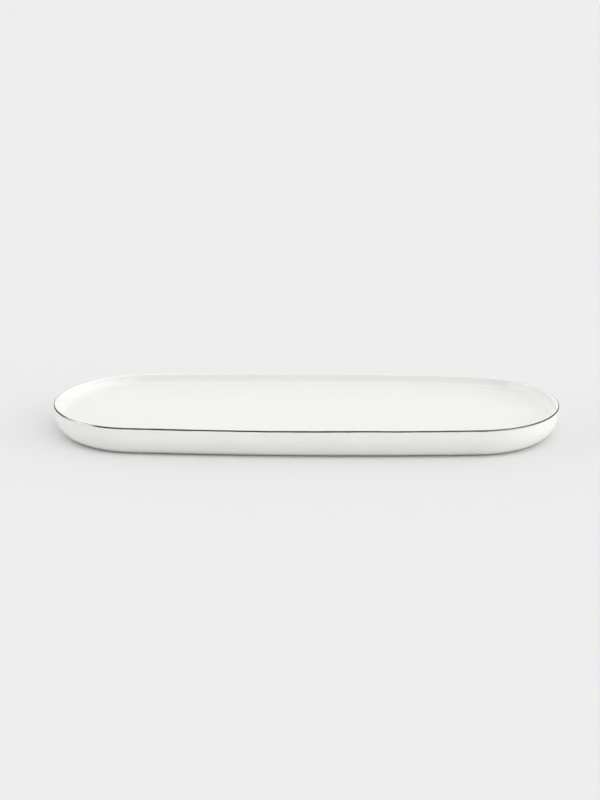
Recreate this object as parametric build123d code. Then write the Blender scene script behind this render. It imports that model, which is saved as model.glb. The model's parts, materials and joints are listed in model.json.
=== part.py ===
from build123d import *

import math
import os

# China serving platter: a long, low oval tray of glazed porcelain with a fine platinum line on its lip.
#
# Millimetres, +Z up. The origin is the centre of the plane that the foot rests on, and +X runs along
# the tray. Four pieces make the real object, each bonded to the one under it in the kiln:
#   porcelain_body   the fired clay, with a low wall, a raised floor and a bare foot under the wall
#   upper_glaze      one coat from the outside of the foot, over the lip and across the well
#   underside_glaze  a second coat in the recess, which the bare foot parts from the first
#   platinum_band    the metal line fired onto the outer shoulder of the lip
#
# The wall is one section carried round an outline of four tangent arcs. In a section, x is the inset
# from the outline and y is the height above the foot's plane.

# Outline, over the lip
LENGTH = 350.0
WIDTH = 130.0
SIDE_BOW = 3.2  # how far a long side bulges over the straight run between two round ends

# Wall section
HEIGHT = 21.0
LIP_THICKNESS = 2.4
LIP_RADIUS = 1.15
HEEL_WIDTH = 11.4  # the outer wall curves in this far to the foot, in two tangent arcs
HEEL_HEIGHT = 15.0
HEEL_RADIUS = 5.0  # of the lower arc
WELL_DEPTH = 8.5
WELL_WALL_INSET = 3.4  # inset of the inner wall at the floor, before its cove is rounded
COVE_RADIUS = 6.8
FLOOR_THICKNESS = 5.5
FOOT_WIDTH = 3.4
FOOT_INNER_LEAN = 2.0
FOOT_EDGE_RADIUS = 0.8
RECESS_RADIUS = 4.0
BARE_FOOT_HEIGHT = 0.5  # the glaze is wiped off below this height

# Coats
GLAZE_THICKNESS = 0.25
BAND_THICKNESS = 0.12
BAND_INSET = 0.5  # where the line ends short of the lip's crown
BAND_DROP = 1.25  # how far below the lip's crown it ends on the outside

# The floor is a flat slab inside this inset, where the wall section stops
SLAB_INSET = 24.0
OVERLAP = 1.0  # how far pieces that are fused or cut run past each other

FLOOR_Z = HEIGHT - WELL_DEPTH
RECESS_Z = FLOOR_Z - FLOOR_THICKNESS

HEEL_RISE = HEEL_HEIGHT - HEEL_RADIUS
UPPER_HEEL_RADIUS = (HEEL_WIDTH**2 + HEEL_RISE**2 - HEEL_RADIUS**2) / (2 * (HEEL_WIDTH - HEEL_RADIUS))

HALF_RUN = (LENGTH - WIDTH) / 2
SIDE_RADIUS = (HALF_RUN**2 + SIDE_BOW**2) / (2 * SIDE_BOW)
SIDE_CENTRE_Y = SIDE_RADIUS - WIDTH / 2
END_RADIUS = (LENGTH**2 / 4 + SIDE_CENTRE_Y**2 - SIDE_RADIUS**2) / (LENGTH - 2 * SIDE_RADIUS)
END_CENTRE_X = LENGTH / 2 - END_RADIUS


def outline_arcs():
    """The four tangent arcs, anticlockwise from the +X end, as (centre, radius, start and sweep in degrees)."""
    end_half = math.degrees(math.atan2(SIDE_CENTRE_Y, END_CENTRE_X))
    side_sweep = 180 - 2 * end_half
    return [
        ((END_CENTRE_X, 0), END_RADIUS, -end_half, 2 * end_half),
        ((0, -SIDE_CENTRE_Y), SIDE_RADIUS, end_half, side_sweep),
        ((-END_CENTRE_X, 0), END_RADIUS, 180 - end_half, 2 * end_half),
        ((0, SIDE_CENTRE_Y), SIDE_RADIUS, 180 + end_half, side_sweep),
    ]


def slab(inset, low, high):
    """A flat plate inside the outline, from height low to height high."""
    edges = [
        CenterArc(centre, radius - inset, start, sweep)
        for centre, radius, start, sweep in outline_arcs()
    ]
    return Pos(0, 0, low) * extrude(make_face(edges), high - low)


def ring(section):
    """A wall section carried round the outline."""
    swept = []
    for centre, radius, start, sweep in outline_arcs():
        middle = Vector(*centre, 0)
        outward = Vector(1, 0, 0).rotate(Axis.Z, start)
        tangent = outward.rotate(Axis.Z, 90)
        plane = Plane(origin=middle + outward * radius, x_dir=-outward, z_dir=tangent)
        swept.append(revolve(plane * section, Axis(middle, (0, 0, 1)), sweep))
    return swept[0] + swept[1:]


def rounded(face, corners):
    """The face with its corners rounded, each given as (inset, height, radius)."""
    for inset, height, radius in corners:
        nearest = face.vertices().sort_by_distance((inset, height, 0))[0]
        face = fillet(nearest, radius)
    return face


def window(inset_from, inset_to, low, high):
    """A rectangle in section, for keeping part of a section."""
    size = (inset_to - inset_from, high - low)
    return Pos((inset_from + inset_to) / 2, (low + high) / 2) * Rectangle(*size)


def heel_arcs():
    """The two tangent arcs of the outer wall, from its upright part in to the foot."""
    turn = math.degrees(math.atan2(HEEL_RISE, UPPER_HEEL_RADIUS - HEEL_WIDTH))
    upper = CenterArc((UPPER_HEEL_RADIUS, HEEL_HEIGHT), UPPER_HEEL_RADIUS, 180, turn)
    lower = CenterArc((HEEL_WIDTH, HEEL_RADIUS), HEEL_RADIUS, 180 + turn, 90 - turn)
    return [upper, lower]


def finished_section():
    """The platter's section with its glaze, running past the slab's edge."""
    inner_edge = SLAB_INSET + OVERLAP
    foot_edge = (HEEL_WIDTH + FOOT_WIDTH, 0)
    recess_corner = (HEEL_WIDTH + FOOT_WIDTH + FOOT_INNER_LEAN, RECESS_Z)
    cove_corner = (WELL_WALL_INSET, FLOOR_Z)
    lip_inside = (LIP_THICKNESS, HEIGHT)
    lip_outside = (0, HEIGHT)
    rest = Polyline(
        (HEEL_WIDTH, 0),
        foot_edge,
        recess_corner,
        (inner_edge, RECESS_Z),
        (inner_edge, FLOOR_Z),
        cove_corner,
        lip_inside,
        lip_outside,
        (0, HEEL_HEIGHT),
    )
    corners = [
        (*foot_edge, FOOT_EDGE_RADIUS),
        (*recess_corner, RECESS_RADIUS),
        (*cove_corner, COVE_RADIUS),
        (*lip_inside, LIP_RADIUS),
        (*lip_outside, LIP_RADIUS),
    ]
    return rounded(make_face(heel_arcs() + [rest]), corners)


def clay_section(finished):
    """The fired clay under the glaze: a glaze thickness inside the finished section, but for the bare foot."""
    foot = finished & window(0, SLAB_INSET, 0, BARE_FOOT_HEIGHT)
    return offset(finished, -GLAZE_THICKNESS) + foot


def band_section(finished):
    """The platinum line: a skin on the outer shoulder of the lip."""
    skin = offset(finished, BAND_THICKNESS) - finished
    return skin & window(-OVERLAP, BAND_INSET, HEIGHT - BAND_DROP, HEIGHT + OVERLAP)


def build_parts():
    """Every piece by name."""
    finished = finished_section()
    clay = clay_section(finished)
    kept = window(-OVERLAP, SLAB_INSET, -OVERLAP, HEIGHT + OVERLAP)
    coats = ((finished - clay) & kept).faces().sort_by(lambda face: face.bounding_box().max.Y)
    slab_edge = SLAB_INSET - OVERLAP
    clay_low = RECESS_Z + GLAZE_THICKNESS
    clay_high = FLOOR_Z - GLAZE_THICKNESS
    return {
        "porcelain_body": ring(clay & kept) + slab(slab_edge, clay_low, clay_high),
        "upper_glaze": ring(coats[-1]) + slab(slab_edge, clay_high, FLOOR_Z),
        "underside_glaze": ring(coats[0]) + slab(slab_edge, RECESS_Z, clay_low),
        "platinum_band": ring(band_section(finished)),
    }


os.makedirs("parts", exist_ok=True)
for name, shape in build_parts().items():
    export_step(shape, f"parts/{name}.step")
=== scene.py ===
import json
import math
import random

import bmesh
import bpy
import numpy as np
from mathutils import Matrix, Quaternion, Vector


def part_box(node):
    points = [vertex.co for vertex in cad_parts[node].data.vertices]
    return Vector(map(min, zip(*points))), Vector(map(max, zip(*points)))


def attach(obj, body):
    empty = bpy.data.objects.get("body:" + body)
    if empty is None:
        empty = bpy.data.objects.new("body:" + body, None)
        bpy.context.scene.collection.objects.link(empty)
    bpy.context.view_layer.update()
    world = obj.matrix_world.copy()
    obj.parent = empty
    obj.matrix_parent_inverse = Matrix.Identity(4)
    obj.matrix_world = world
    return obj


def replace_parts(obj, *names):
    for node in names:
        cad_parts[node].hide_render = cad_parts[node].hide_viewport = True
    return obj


# The looks of a china serving platter: a skin for the fired clay, one for each of its two coats of glaze
# and one for the platinum line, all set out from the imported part's boxes and mounts.
#
# Metres, +Z up. A section of the wall is a path of (inset from the outline, height above the table).
# Every skin is such a section carried round the outline. Past OFFSET_LIMIT the insets draw in to the
# platter's centre line, which is at an inset of half its width.

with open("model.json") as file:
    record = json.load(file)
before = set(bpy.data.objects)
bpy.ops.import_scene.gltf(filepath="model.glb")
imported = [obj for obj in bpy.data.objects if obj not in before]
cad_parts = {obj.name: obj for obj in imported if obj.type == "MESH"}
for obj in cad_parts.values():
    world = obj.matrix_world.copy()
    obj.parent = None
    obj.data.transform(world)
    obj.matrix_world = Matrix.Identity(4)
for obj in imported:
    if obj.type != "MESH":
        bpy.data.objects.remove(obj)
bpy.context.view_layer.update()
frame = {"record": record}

MM = 0.001

# Taken from the frame
body_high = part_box("porcelain_body")[1]
under_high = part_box("underside_glaze")[1]
upper_low, upper_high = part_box("upper_glaze")
band_low, band_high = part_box("platinum_band")
mount_height = {mount["name"]: mount["pos_m"][2] for mount in frame["record"]["mounts"]}

HEIGHT = upper_high.z
GLAZE = upper_high.x - body_high.x
FLOOR_HEIGHT = mount_height["well_floor"]
RECESS_HEIGHT = under_high.z - GLAZE
BARE_HEIGHT = upper_low.z
BAND_THICKNESS = band_high.x - upper_high.x
BAND_DROP = HEIGHT - band_low.z

# The rest of the section
LIP_THICKNESS = 2.4 * MM
LIP_RADIUS = 1.15 * MM
HEEL_WIDTH = 11.4 * MM
HEEL_HEIGHT = 15.0 * MM
HEEL_RADIUS = 5.0 * MM
WELL_WALL_INSET = 3.4 * MM
COVE_RADIUS = 6.8 * MM
FOOT_WIDTH = 3.4 * MM
FOOT_LEAN = 2.0 * MM
FOOT_EDGE_RADIUS = 0.8 * MM
RECESS_RADIUS = 4.0 * MM
BAND_INSET = 0.5 * MM  # where the metal line ends short of the lip's crown
GLAZE_ROLL = 0.4 * MM  # width of the rounded edge where a coat ends
CENTRE_INSET = upper_high.y

# The outline
SIDE_BOW = 3.2 * MM
OFFSET_LIMIT = 24 * MM

# How finely the skins are made
PATH_STEP = 0.02 * MM
FLAT_STEP = 3.0 * MM
ARC_STEP = math.radians(6)
END_STEP = 1.4 * MM
SIDE_STEP = 2.5 * MM
ROLL_POINTS = 7  # down the rounded edge of a coat
BAND_POINTS = 17  # across the metal line
WELD = 0.001 * MM

# What the maker's hand leaves. Waves are counted in one turn of the outline.
SEED = 7
LIP_WANDER = 0.08 * MM
LIP_WAVES = [2, 3, 5, 8]
SIDE_WANDER = 0.10 * MM
SIDE_WAVES = [2, 3, 4, 7]
FLOOR_SAG = 0.20 * MM
FLOOR_RIPPLE = 0.02 * MM
FLOOR_RIPPLE_WAVES = [(3.5, 1.3, 1), (2, -4.3, 4), (5.8, 3.2, 0)]  # radians a half width, and phase
GLAZE_EDGE_WANDER = 0.12 * MM
UPPER_EDGE_WAVES = [9, 14, 23, 37]
UNDERSIDE_EDGE_WAVES = [8, 15, 21, 34]
POOL_INSET = 6.5 * MM  # where glaze gathers in the cove of the well, how widely and how much
POOL_SPREAD = 3.0 * MM
POOL_SHARE = 0.7
BEAD_WIDTH = 0.8 * MM  # and how far back from the edge of a coat
BAND_EDGE_WANDER = 0.06 * MM
BAND_UPPER_WAVES = [7, 12, 19, 31, 52]
BAND_LOWER_WAVES = [6, 11, 17, 29, 47]
FILM_SHARE = 0.8  # of the line's full thickness, which the film mostly has
FILM_WANDER = 0.2
FILM_WAVES = [9, 22, 41]
FILM_EDGE_RISE = 3  # how steeply the film thickens from its edges
PAINTED_HIGHLIGHT_FACING = math.radians(233)  # the way the lip faces where the metal line has a painted highlight
PAINTED_HIGHLIGHT_SPREAD = math.radians(16)

# Colours
GLAZE_WHITE = (0.875, 0.868, 0.845)
GLAZE_CLOUD = (0.86, 0.852, 0.826)
GLAZE_POOL = (0.84, 0.85, 0.835)
BISQUE_LIGHT = (0.84, 0.80, 0.74)
BISQUE_DARK = (0.76, 0.71, 0.64)
BISQUE_SCUFF = (0.45, 0.44, 0.43)
PLATINUM_LIGHT = (0.16, 0.157, 0.15)
PLATINUM_DARK = (0.11, 0.108, 0.103)
PLATINUM_PAINTED_HIGHLIGHT = (0.46, 0.452, 0.436)  # painted highlight: a brighter film where the lip faces one way, standing in for a softbox's reflection
PLATINUM_EDGE = (0.35, 0.35, 0.35)  # what the film mirrors when it is seen almost edge on
PAPER_LIGHT = (0.806, 0.806, 0.806)
PAPER_DARK = (0.80, 0.80, 0.80)
PALE = (0.855, 0.855, 0.855)  # the backdrop, as bright as the lit floor
POOL_TINT = 0.5  # the share of its own colour that the thickest glaze shows

# Noise in the materials, as (cells a metre, octaves of detail)
GLAZE_CLOUDS = (45, 3)
GLAZE_GLOSS = (60, 2)
GLAZE_WAVES = (25, 1)
BISQUE_GRAIN = (2600, 3)
BISQUE_SCUFFS = (380, 5)
PAPER_MOTTLE = (30, 4)
NOISE_LOW = 0.35  # most of a noise's values lie between these
NOISE_HIGH = 0.65
STROKES_ALONG = 60.0  # brush strokes: cells a metre along the line
STROKES_ACROSS = 9.0  # and cells in its whole width
STROKE_DETAIL = 4

# Finishes
GLAZE_IOR = 1.5
GLAZE_ROUGHNESS = (0.06, 0.09)
GLAZE_WAVE_DEPTH = 0.004 * MM
BISQUE_ROUGHNESS = 0.8
BISQUE_GRAIN_DEPTH = 0.03 * MM
SCUFF_HEIGHTS = (0.02 * MM, 0.15 * MM)  # above the table: full scuffs below the first, none past the second
SCUFF_NOISE = (0.5, 0.7)  # the stretch of noise that becomes scuffs
SCUFF_SHARE = 0.7  # the most of the clay's own colour that a scuff covers
PLATINUM_ROUGHNESS = (0.12, 0.26)
STROKE_DEPTH = 0.008 * MM

# The studio: how bright each light is, and where as (turn, height) in degrees.
# A turn is from the camera's side, anticlockwise from above.
BACKDROP_LIGHT = 0.92
OVERHEAD_LIGHT = 0.62
RIGHT_FILL_LIGHT = 1.9  # the side walls, in front of the platter
LEFT_FILL_LIGHT = 0.0
SIDE_BLEND = 0.4  # how far the side walls' light runs into each other, as x in a direction of length 1
BACK_BLEND = 0.3  # and into the backdrop's, as y
ROOM_LIGHT = 0.12  # the dark gap between them, where the camera stands
ROOM_GAP = {"centre": (-8, 0), "half_size": (20, 78), "softness": 8}
SOFTBOXES = [
    {"light": 0.5, "centre": (86, 18), "half_size": (46, 17), "softness": 4},
    {"light": 3.4, "centre": (-76, 13), "half_size": (16, 11), "softness": 2},
    {"light": 0.6, "centre": (-66, 42), "half_size": (17, 12), "softness": 4},
    {"light": 0.45, "centre": (-128, 22), "half_size": (30, 20), "softness": 6},
    {"light": 1.5, "centre": (0, 62), "half_size": (60, 14), "softness": 10},
]
FLOOR_REACH = 40.0  # how far the floor runs each way
FLOOR_SQUARES = 8  # along each side

# The camera
CAMERA_AZIMUTH = math.radians(1.60)
CAMERA_ELEVATION = math.radians(18.98)
CAMERA_ROLL = math.radians(-0.22)
CAMERA_DISTANCE = 1.118
CAMERA_STAND = Vector((0, 0, 2 * MM))  # the point that the angles and distance are from
CAMERA_AIM = Vector((-3.9 * MM, 0, 21.1 * MM))
CAMERA_LENS = 72

draw = random.Random(SEED)


# ---- The section ----


def rounded_points(corners):
    """Closely spaced points along a line through corners, each (inset, height, radius) of a rounding."""
    places = [np.array(corner[:2]) for corner in corners]
    radii = [corner[2] for corner in corners]
    points = [places[0]]
    for before, corner, after, radius in zip(places, places[1:], places[2:], radii[1:]):
        arriving = (corner - before) / np.linalg.norm(corner - before)
        leaving = (after - corner) / np.linalg.norm(after - corner)
        turn = math.acos(np.clip(arriving @ leaving, -1, 1))
        side = np.sign(arriving[0] * leaving[1] - arriving[1] * leaving[0])
        inward = side * np.array([-arriving[1], arriving[0]])
        start = corner - arriving * radius * math.tan(turn / 2)
        for angle in np.linspace(0, turn, math.ceil(turn * radius / PATH_STEP)):
            points.append(start + radius * (arriving * math.sin(angle) + inward * (1 - math.cos(angle))))
    points.append(places[-1])
    apart = np.linalg.norm(np.diff(points, axis=0), axis=1) > WELD
    return np.array(points)[np.concatenate([[True], apart])]


class Path:
    """A path in section, read by the distance along it."""

    def __init__(self, points):
        steps = np.linalg.norm(np.diff(points, axis=0), axis=1)
        self.points = points
        self.distance = np.concatenate([[0], np.cumsum(steps)])
        self.length = self.distance[-1]
        tangents = np.gradient(points, self.distance, axis=0)
        tangents /= np.linalg.norm(tangents, axis=1, keepdims=True)
        self.normals = np.stack([tangents[:, 1], -tangents[:, 0]], axis=1)
        turns = np.abs(np.diff(np.unwrap(np.arctan2(*self.normals.T))))
        self.turned = np.concatenate([[0], np.cumsum(turns)])

    def read(self, values, distance):
        """Values that are known at the path's points, at these distances."""
        return np.stack([np.interp(distance, self.distance, column) for column in values.T], axis=-1)

    def at(self, distance, lift):
        """Places at these distances, raised off the path by lift."""
        return self.read(self.points, distance) + self.read(self.normals, distance) * np.expand_dims(lift, -1)

    def samples(self, start, end):
        """Distances from start to end, close together where the path turns."""
        effort = self.distance / FLAT_STEP + self.turned / ARC_STEP
        first, last = np.interp([start, end], self.distance, effort)
        return np.interp(np.linspace(first, last, math.ceil(last - first) + 1), effort, self.distance)


def heel_corners():
    """The outer wall's heel: a wide rounding that meets a tighter one above the foot."""
    rise = HEEL_HEIGHT - HEEL_RADIUS
    wide_radius = (HEEL_WIDTH**2 + rise**2 - HEEL_RADIUS**2) / (2 * (HEEL_WIDTH - HEEL_RADIUS))
    wide_turn = math.atan2(rise, wide_radius - HEEL_WIDTH)
    tight_turn = math.pi / 2 - wide_turn
    return [
        (0, HEEL_HEIGHT - wide_radius * math.tan(wide_turn / 2), wide_radius),
        (HEEL_WIDTH - HEEL_RADIUS * math.tan(tight_turn / 2), 0, HEEL_RADIUS),
    ]


def finished_path():
    """The finished surface, from the middle of the well over the lip and foot to the middle of the recess."""
    foot_inset = HEEL_WIDTH + FOOT_WIDTH
    return Path(
        rounded_points(
            [
                (CENTRE_INSET, FLOOR_HEIGHT, 0),
                (WELL_WALL_INSET, FLOOR_HEIGHT, COVE_RADIUS),
                (LIP_THICKNESS, HEIGHT, LIP_RADIUS),
                (0, HEIGHT, LIP_RADIUS),
                *heel_corners(),
                (foot_inset, 0, FOOT_EDGE_RADIUS),
                (foot_inset + FOOT_LEAN, RECESS_HEIGHT, RECESS_RADIUS),
                (CENTRE_INSET, RECESS_HEIGHT, 0),
            ]
        )
    )


# ---- The outline ----


class Outline:
    """Stations round the outline, anticlockwise, and the place on the centre line that each draws in to."""

    def __init__(self, half_length, half_width):
        half_run = half_length - half_width
        side_radius = (half_run**2 + SIDE_BOW**2) / (2 * SIDE_BOW)
        side_centre = side_radius - half_width
        end_radius = (half_length**2 + side_centre**2 - side_radius**2) / (2 * (half_length - side_radius))
        end_centre = half_length - end_radius
        end_half = math.atan2(side_centre, end_centre)
        places, normals = [], []
        for turned, sign in [(0, 1), (math.pi, -1)]:
            for centre, radius, start, end, step in [
                ((sign * end_centre, 0), end_radius, -end_half, end_half, END_STEP),
                ((0, -sign * side_centre), side_radius, end_half, math.pi - end_half, SIDE_STEP),
            ]:
                count = 2 * round(radius * (end - start) / step / 2)
                angles = turned + np.linspace(start, end, count, endpoint=False)
                outward = np.stack([np.cos(angles), np.sin(angles)], axis=1)
                places.append(np.array(centre) + outward * radius)
                normals.append(outward)
        self.places = np.concatenate(places)
        self.normals = np.concatenate(normals)
        end_joint = end_centre + end_radius * math.cos(end_half)
        along = np.clip(self.places[:, 0] / end_joint, -1, 1) * end_centre
        self.centres = np.stack([along, np.zeros_like(along)], axis=1)
        steps = np.linalg.norm(np.diff(self.places, axis=0, append=self.places[:1]), axis=1)
        self.turn = (np.cumsum(steps) - steps) / steps.sum()

    def wander(self, waves):
        """A smooth closed wander round the outline, mostly within 1 either way, with these waves a turn."""
        phases = [draw.uniform(0, 2 * math.pi) for _ in waves]
        total = sum(np.sin(2 * math.pi * wave * self.turn + phase) for wave, phase in zip(waves, phases))
        return total[:, None] / math.sqrt(len(waves))


# ---- Skins ----


def smooth(value, start, end):
    """0 before start, 1 past end and a smooth rise between."""
    t = np.clip((value - start) / (end - start), 0, 1)
    return t * t * (3 - 2 * t)


def carried(section):
    """Section places, one row a station, as places in space, with what the maker's hand leaves."""
    inset, height = section[..., 0], section[..., 1]
    near_wall = 1 - smooth(inset, 0, OFFSET_LIMIT)
    lean = SIDE_WANDER * side_wander * smooth(height, 0, HEIGHT) * near_wall
    offset = np.minimum(inset, OFFSET_LIMIT) - lean
    ring = outline.places[:, None] - outline.normals[:, None] * offset[..., None]
    drawn = np.clip((inset - OFFSET_LIMIT) / (CENTRE_INSET - OFFSET_LIMIT), 0, 1)[..., None]
    flat = ring + (outline.centres[:, None] - ring) * drawn
    x, y = flat[..., 0] / CENTRE_INSET, flat[..., 1] / CENTRE_INSET
    ripple = sum(np.sin(along * x + across * y + phase) for along, across, phase in FLOOR_RIPPLE_WAVES)
    sag = smooth(inset, WELL_WALL_INSET + COVE_RADIUS, CENTRE_INSET) * (FLOOR_SAG + FLOOR_RIPPLE * ripple)
    rise = LIP_WANDER * lip_wander * smooth(height, FLOOR_HEIGHT, HEIGHT)
    return np.concatenate([flat, (height + rise - sag)[..., None]], axis=-1)


def skin(name, section, closed, fields):
    """A closed mesh through one section a station. An open section starts and ends on the centre line."""
    places = carried(section)
    index = np.arange(places[..., 0].size).reshape(places.shape[:2])
    onward = np.roll(index, -1, axis=0)
    if closed:
        corners = [index, onward, np.roll(onward, -1, axis=1), np.roll(index, -1, axis=1)]
    else:
        corners = [index[:, :-1], onward[:, :-1], onward[:, 1:], index[:, 1:]]
    mesh = bpy.data.meshes.new(name)
    mesh.from_pydata(places.reshape(-1, 3), [], np.stack(corners, axis=-1).reshape(-1, 4))
    for field, values in fields.items():
        layer = mesh.attributes.new(field, "FLOAT", "POINT")
        spread = np.broadcast_to(values, index.shape)
        layer.data.foreach_set("value", spread.astype(np.float32).ravel())
    shape = bmesh.new()
    shape.from_mesh(mesh)
    bmesh.ops.remove_doubles(shape, verts=shape.verts, dist=WELD)
    bmesh.ops.recalc_face_normals(shape, faces=shape.faces)
    for face in shape.faces:
        face.smooth = True
    shape.to_mesh(mesh)
    shape.free()
    piece = bpy.data.objects.new(name, mesh)
    bpy.context.scene.collection.objects.link(piece)
    return piece


def wandered(distances):
    """Distances along the section, one row a station, moved with the two edges of the bare foot."""
    knots = [0, bare_from, bare_to, path.length]
    rows = np.concatenate([outer_edge * 0, outer_edge, inner_edge, outer_edge * 0 + path.length], axis=1)
    return np.stack([np.interp(distances, knots, row) for row in rows])


def roll(distance, edge):
    """How far a coat's surface drops as it rounds down to the clay at its edge."""
    near = np.clip(1 - np.abs(distance - edge) / GLAZE_ROLL, 0, 1)
    return GLAZE * (1 - np.sqrt(1 - near**2))


def pooling(distance):
    """How thickly glaze has gathered, 0 to 1: in the cove of the well and at the edges by the bare foot."""
    inset = path.read(path.points, distance)[..., 0]
    cove = np.exp(-(((inset - POOL_INSET) / POOL_SPREAD) ** 2)) * (distance < crown)
    edges = sum(np.exp(-np.abs(distance - edge) / BEAD_WIDTH) for edge in (outer_edge, inner_edge))
    return np.clip(POOL_SHARE * cove + edges, 0, 1)


def edge_samples():
    """Distances back from a coat's edge, close together where it rounds down."""
    return GLAZE_ROLL * np.cos(np.linspace(0, math.pi / 2, ROLL_POINTS))


def make_upper_glaze():
    """The coat from the outside of the foot, over the lip and across the well."""
    nominal = np.concatenate([path.samples(0, bare_from - GLAZE_ROLL)[:-1], bare_from - edge_samples()])
    outer = wandered(nominal)
    inner = outer[:, -2::-1]
    top = path.at(outer, -roll(outer, outer_edge))
    back = path.at(inner, np.full_like(inner, -GLAZE))
    pool = np.concatenate([pooling(outer), pooling(inner)], axis=1)
    piece = skin("upper_glaze_coat", np.concatenate([top, back], axis=1), False, {"pool": pool})
    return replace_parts(piece, "upper_glaze")


def make_underside_glaze():
    """The coat in the recess under the floor."""
    inside = path.samples(bare_to + GLAZE_ROLL, path.length)[1:]
    nominal = np.concatenate([bare_to + edge_samples()[::-1], inside])
    outer = wandered(nominal)
    inner = outer[:, :0:-1]
    face = path.at(outer, -roll(outer, inner_edge))
    back = path.at(inner, np.full_like(inner, -GLAZE))
    pool = np.concatenate([pooling(inner), pooling(outer)], axis=1)
    piece = skin("underside_glaze_coat", np.concatenate([back, face], axis=1), False, {"pool": pool})
    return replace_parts(piece, "underside_glaze")


def make_fired_clay():
    """The clay: a coat's thickness inside the finished surface, but flush with it on the bare foot."""
    step = edge_samples()
    nominal = np.concatenate(
        [
            path.samples(0, bare_from)[:-1],
            bare_from + step[::-1],
            path.samples(bare_from + GLAZE_ROLL, bare_to - GLAZE_ROLL)[1:-1],
            bare_to - step,
            path.samples(bare_to, path.length)[1:],
        ]
    )
    distance = wandered(nominal)
    rise = smooth(distance, outer_edge, outer_edge + GLAZE_ROLL)
    fall = smooth(distance, inner_edge - GLAZE_ROLL, inner_edge)
    bare = rise * (1 - fall)
    piece = skin("fired_clay_body", path.at(distance, GLAZE * (bare - 1)), False, {"bare": bare})
    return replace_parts(piece, "porcelain_body")


def make_platinum_line():
    """The metal line, brushed on by hand, so its edges wander a little and its film thins towards them."""
    inset, height = path.points.T
    on_shoulder = path.distance[(inset < BAND_INSET) & (height > HEIGHT - BAND_DROP)]
    start = on_shoulder[0] + BAND_EDGE_WANDER * outline.wander(BAND_UPPER_WAVES)
    end = on_shoulder[-1] + BAND_EDGE_WANDER * outline.wander(BAND_LOWER_WAVES)
    across = (1 - np.cos(np.linspace(0, math.pi, BAND_POINTS))) / 2
    distance = start + (end - start) * across
    film = np.sqrt(np.clip(FILM_EDGE_RISE * np.sin(math.pi * across), 0, 1))
    thickness = BAND_THICKNESS * (FILM_SHARE + FILM_WANDER * outline.wander(FILM_WAVES)) * film
    over = path.at(distance, np.clip(thickness, 0, BAND_THICKNESS))
    back = distance[:, -2:0:-1]
    under = path.at(back, np.zeros_like(back))
    # Painted highlight: the film is made brighter along the stretch of lip that faces one way, as if it
    # mirrored a softbox.
    facing = outline.normals @ np.array([math.cos(PAINTED_HIGHLIGHT_FACING), math.sin(PAINTED_HIGHLIGHT_FACING)])
    heavy = smooth(facing, math.cos(PAINTED_HIGHLIGHT_SPREAD), math.cos(PAINTED_HIGHLIGHT_SPREAD / 2))[:, None]
    fields = {"across": np.concatenate([across, across[-2:0:-1]]), "heavy": heavy}
    piece = skin("platinum_lip_line", np.concatenate([over, under], axis=1), True, fields)
    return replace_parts(piece, "platinum_band")


# ---- Materials ----


class Nodes:
    """A material or world whose nodes are made and joined by short calls."""

    MIX_INPUTS = (0, 6, 7)  # a Mix node's share and its two colours
    MIX_RESULT = 2

    def __init__(self, owner):
        owner.use_nodes = True
        self.tree = owner.node_tree
        self.tree.nodes.clear()

    def add(self, kind, inputs=None, **settings):
        """A node with settings and inputs, where an input is a value or another node's output."""
        node = self.tree.nodes.new(kind)
        for setting, value in settings.items():
            setattr(node, setting, value)
        for socket, value in (inputs or {}).items():
            if isinstance(value, bpy.types.NodeSocket):
                self.tree.links.new(value, node.inputs[socket])
            else:
                node.inputs[socket].default_value = value
        return node

    def math(self, operation, *values):
        return self.add("ShaderNodeMath", dict(enumerate(values)), operation=operation).outputs[0]

    def noise(self, place, scale, detail):
        node = self.add("ShaderNodeTexNoise", {"Vector": place, "Scale": scale, "Detail": detail})
        return node.outputs["Fac"]

    def spread(self, value, low, high, start=NOISE_LOW, end=NOISE_HIGH):
        """value's stretch from start to end, as low to high."""
        inputs = {"Value": value, "From Min": start, "From Max": end, "To Min": low, "To Max": high}
        return self.add("ShaderNodeMapRange", inputs).outputs["Result"]

    def mix(self, share, first, second):
        inputs = dict(zip(self.MIX_INPUTS, (share, first, second)))
        return self.add("ShaderNodeMix", inputs, data_type="RGBA").outputs[self.MIX_RESULT]

    def bump(self, height, distance):
        return self.add("ShaderNodeBump", {"Height": height, "Distance": distance}).outputs["Normal"]

    def attribute(self, name):
        return self.add("ShaderNodeAttribute", attribute_name=name).outputs["Fac"]

    def place(self):
        return self.add("ShaderNodeTexCoord").outputs["Object"]

    def surface(self, shader):
        self.add("ShaderNodeOutputMaterial", {"Surface": shader})


def glaze_material():
    """Clear gloss glaze over warm white china: faintly clouded, pooled in the hollows, a little wavy."""
    material = bpy.data.materials.new("gloss_glaze")
    nodes = Nodes(material)
    place = nodes.place()
    cloud = nodes.spread(nodes.noise(place, *GLAZE_CLOUDS), 0, 1)
    white = nodes.mix(cloud, (*GLAZE_WHITE, 1), (*GLAZE_CLOUD, 1))
    tint = nodes.math("MULTIPLY", nodes.attribute("pool"), POOL_TINT)
    pooled = nodes.mix(tint, white, (*GLAZE_POOL, 1))
    roughness = nodes.spread(nodes.noise(place, *GLAZE_GLOSS), *GLAZE_ROUGHNESS)
    waves = nodes.bump(nodes.noise(place, *GLAZE_WAVES), GLAZE_WAVE_DEPTH)
    shader = nodes.add(
        "ShaderNodeBsdfPrincipled",
        {"Base Color": pooled, "Roughness": roughness, "Normal": waves, "IOR": GLAZE_IOR},
    )
    nodes.surface(shader.outputs["BSDF"])
    return material


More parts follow.
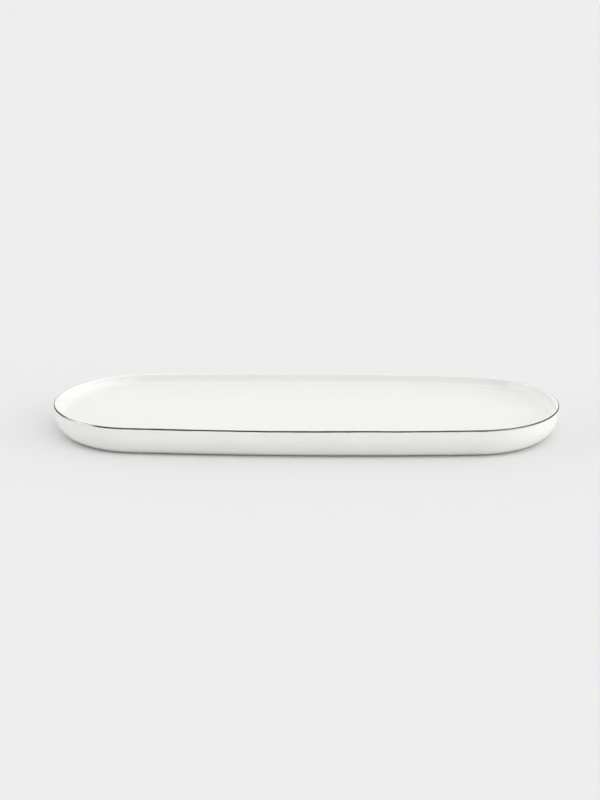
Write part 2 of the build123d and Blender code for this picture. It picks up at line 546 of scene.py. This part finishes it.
def bisque_material():
    """Bare fired china: fine, dry and chalky, with grey scuffs where the foot has slid on a table."""
    material = bpy.data.materials.new("bare_bisque")
    nodes = Nodes(material)
    place = nodes.place()
    grain = nodes.noise(place, *BISQUE_GRAIN)
    tone = nodes.mix(nodes.spread(grain, 0, 1), (*BISQUE_LIGHT, 1), (*BISQUE_DARK, 1))
    height = nodes.add("ShaderNodeSeparateXYZ", {"Vector": place}).outputs["Z"]
    resting = nodes.spread(height, 1, 0, *SCUFF_HEIGHTS)
    rubbed = nodes.spread(nodes.noise(place, *BISQUE_SCUFFS), 0, SCUFF_SHARE, *SCUFF_NOISE)
    worn = nodes.mix(nodes.math("MULTIPLY", resting, rubbed), tone, (*BISQUE_SCUFF, 1))
    bumps = nodes.bump(grain, BISQUE_GRAIN_DEPTH)
    shader = nodes.add(
        "ShaderNodeBsdfPrincipled",
        {"Base Color": worn, "Roughness": BISQUE_ROUGHNESS, "Normal": bumps},
    )
    nodes.surface(shader.outputs["BSDF"])
    return material


def platinum_material():
    """Platinum lustre: a thin dark film with fine brush strokes, and a painted highlight where the lip faces
    one way.
    """
    material = bpy.data.materials.new("platinum_lustre")
    nodes = Nodes(material)
    place = nodes.add("ShaderNodeSeparateXYZ", {"Vector": nodes.place()})
    x = nodes.math("MULTIPLY", place.outputs["X"], STROKES_ALONG)
    y = nodes.math("MULTIPLY", place.outputs["Y"], STROKES_ALONG)
    z = nodes.math("MULTIPLY", nodes.attribute("across"), STROKES_ACROSS)
    brushed = nodes.add("ShaderNodeCombineXYZ", {"X": x, "Y": y, "Z": z}).outputs["Vector"]
    strokes = nodes.noise(brushed, 1, STROKE_DETAIL)
    film = nodes.mix(nodes.spread(strokes, 0, 1), (*PLATINUM_LIGHT, 1), (*PLATINUM_DARK, 1))
    # The painted highlight is mixed into the film's colour here.
    tone = nodes.mix(nodes.attribute("heavy"), film, (*PLATINUM_PAINTED_HIGHLIGHT, 1))
    shader = nodes.add(
        "ShaderNodeBsdfPrincipled",
        {
            "Base Color": tone,
            "Metallic": 1.0,
            "Specular Tint": (*PLATINUM_EDGE, 1),
            "Roughness": nodes.spread(strokes, *PLATINUM_ROUGHNESS),
            "Normal": nodes.bump(strokes, STROKE_DEPTH),
        },
    )
    nodes.surface(shader.outputs["BSDF"])
    return material


# ---- The studio ----


def make_floor():
    """A wide sheet of matt paper with a barely seen mottle."""
    shape = bmesh.new()
    bmesh.ops.create_grid(shape, x_segments=FLOOR_SQUARES, y_segments=FLOOR_SQUARES, size=FLOOR_REACH)
    mesh = bpy.data.meshes.new("studio_floor")
    shape.to_mesh(mesh)
    shape.free()
    floor = bpy.data.objects.new("studio_floor", mesh)
    bpy.context.scene.collection.objects.link(floor)
    material = bpy.data.materials.new("studio_paper")
    nodes = Nodes(material)
    tone = nodes.mix(nodes.noise(nodes.place(), *PAPER_MOTTLE), (*PAPER_DARK, 1), (*PAPER_LIGHT, 1))
    shader = nodes.add(
        "ShaderNodeBsdfPrincipled",
        {"Base Color": tone, "Roughness": 1.0, "Specular IOR Level": 0.0},
    )
    nodes.surface(shader.outputs["BSDF"])
    mesh.materials.append(material)


def softbox(nodes, turn, height, light, centre, half_size, softness):
    """How much light comes from a soft-edged panel in this direction."""
    share = light
    for angle, middle, half in zip((turn, height), centre, half_size):
        away = nodes.math("ABSOLUTE", nodes.math("SUBTRACT", angle, math.radians(middle)))
        edge = nodes.spread(away, 1, 0, math.radians(half - softness / 2), math.radians(half + softness / 2))
        share = nodes.math("MULTIPLY", share, edge)
    return share


def make_turntable():
    """An empty that turns with the camera, so that the lights stay on the same sides of every view."""
    turntable = bpy.data.objects.new("turntable", None)
    bpy.context.scene.collection.objects.link(turntable)
    follow = turntable.constraints.new("COPY_ROTATION")
    follow.target = bpy.context.scene.camera
    follow.use_x = False
    follow.use_y = False
    return turntable


def make_world():
    """A pale sweep behind, a soft light overhead, softboxes at the sides and a dark gap round the camera."""
    world = bpy.data.worlds.new("studio")
    bpy.context.scene.world = world
    nodes = Nodes(world)
    direction = nodes.add("ShaderNodeTexCoord", object=make_turntable()).outputs["Object"]
    x, y, z = nodes.add("ShaderNodeSeparateXYZ", {"Vector": direction}).outputs
    height = nodes.math("ARCSINE", z)
    turn = nodes.math("ARCTAN2", x, nodes.math("MULTIPLY", y, -1.0))
    fill = nodes.spread(x, LEFT_FILL_LIGHT, RIGHT_FILL_LIGHT, -SIDE_BLEND, SIDE_BLEND)
    walls = nodes.spread(y, fill, BACKDROP_LIGHT, -BACK_BLEND, BACK_BLEND)
    sky = nodes.spread(height, walls, OVERHEAD_LIGHT, 0, math.pi / 2)
    gap = softbox(nodes, turn, height, 1, **ROOM_GAP)
    light = nodes.spread(gap, sky, ROOM_LIGHT, 0, 1)
    for panel in SOFTBOXES:
        light = nodes.math("ADD", light, softbox(nodes, turn, height, **panel))
    lit = nodes.add("ShaderNodeBackground", {"Color": (1, 1, 1, 1), "Strength": light})
    seen = nodes.add("ShaderNodeBackground", {"Color": (*PALE, 1), "Strength": 1.0})
    ray = nodes.add("ShaderNodeLightPath").outputs["Is Camera Ray"]
    mixed = nodes.add("ShaderNodeMixShader", {0: ray, 1: lit.outputs[0], 2: seen.outputs[0]})
    nodes.add("ShaderNodeOutputWorld", {"Surface": mixed.outputs[0]})


def make_camera():
    """A camera that looks a little down at the platter's long side."""
    camera = bpy.data.objects.new("camera", bpy.data.cameras.new("camera"))
    camera.data.lens = CAMERA_LENS
    camera.data.clip_end = 2 * FLOOR_REACH
    tilt = Quaternion((1, 0, 0), -CAMERA_ELEVATION)
    swing = Quaternion((0, 0, 1), CAMERA_AZIMUTH)
    back = swing @ tilt @ Vector((0, -1, 0))
    camera.location = CAMERA_STAND + back * CAMERA_DISTANCE
    look = (CAMERA_AIM - camera.location).to_track_quat("-Z", "Y")
    camera.rotation_mode = "QUATERNION"
    camera.rotation_quaternion = look @ Quaternion((0, 0, 1), CAMERA_ROLL)
    bpy.context.scene.collection.objects.link(camera)
    bpy.context.scene.camera = camera


# ---- The platter ----

path = finished_path()
low_part = path.distance[path.points[:, 1] < BARE_HEIGHT]
bare_from, bare_to = low_part[0], low_part[-1]
crown = path.distance[np.argmax(path.points[:, 1])]
widest = path.points[:, 0].min()
outline = Outline(upper_high.x + widest, upper_high.y + widest)
lip_wander = outline.wander(LIP_WAVES)
side_wander = outline.wander(SIDE_WAVES)
outer_edge = bare_from + GLAZE_EDGE_WANDER * outline.wander(UPPER_EDGE_WAVES)
inner_edge = bare_to + GLAZE_EDGE_WANDER * outline.wander(UNDERSIDE_EDGE_WAVES)

glaze = glaze_material()
for make, material in [
    (make_fired_clay, bisque_material()),
    (make_underside_glaze, glaze),
    (make_upper_glaze, glaze),
    (make_platinum_line, platinum_material()),
]:
    piece = make()
    piece.data.materials.append(material)
    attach(piece, "root")

make_floor()
make_camera()
make_world()
bpy.context.scene.view_settings.view_transform = "Standard"
